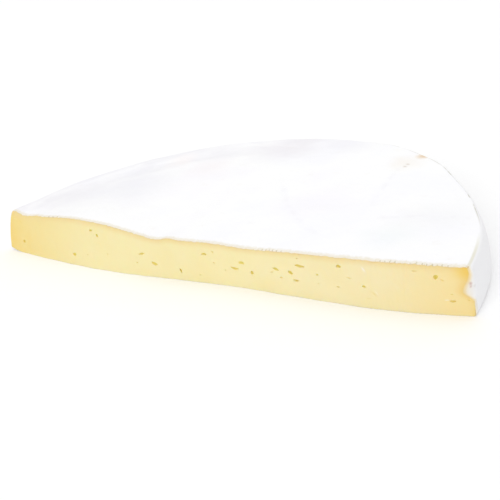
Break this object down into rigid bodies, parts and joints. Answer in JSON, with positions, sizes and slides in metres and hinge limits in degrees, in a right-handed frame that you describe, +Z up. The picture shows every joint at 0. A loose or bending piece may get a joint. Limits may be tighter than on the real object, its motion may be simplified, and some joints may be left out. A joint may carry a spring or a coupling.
{
  "type": "half brie wheel",
  "caption": "Half of a large flat round soft cheese: white bloomy rind over the top, rim and underside, and a straight cut face of pale yellow paste with small eyes.",
  "frame": {"origin": "on the surface that the cheese lies on, under the middle of its bounding box", "axes": "+Z up, the cut face towards -Y and running along X, the round rim towards +Y"},
  "size_m": [0.3496, 0.1814, 0.0318],
  "materials": {
    "rind": "matt white bloom, slightly fuzzy",
    "paste": "soft moist pale yellow paste"
  },
  "bodies": {
    "root": {"brie_half_wheel": "rind"}
  },
  "joints": []
}
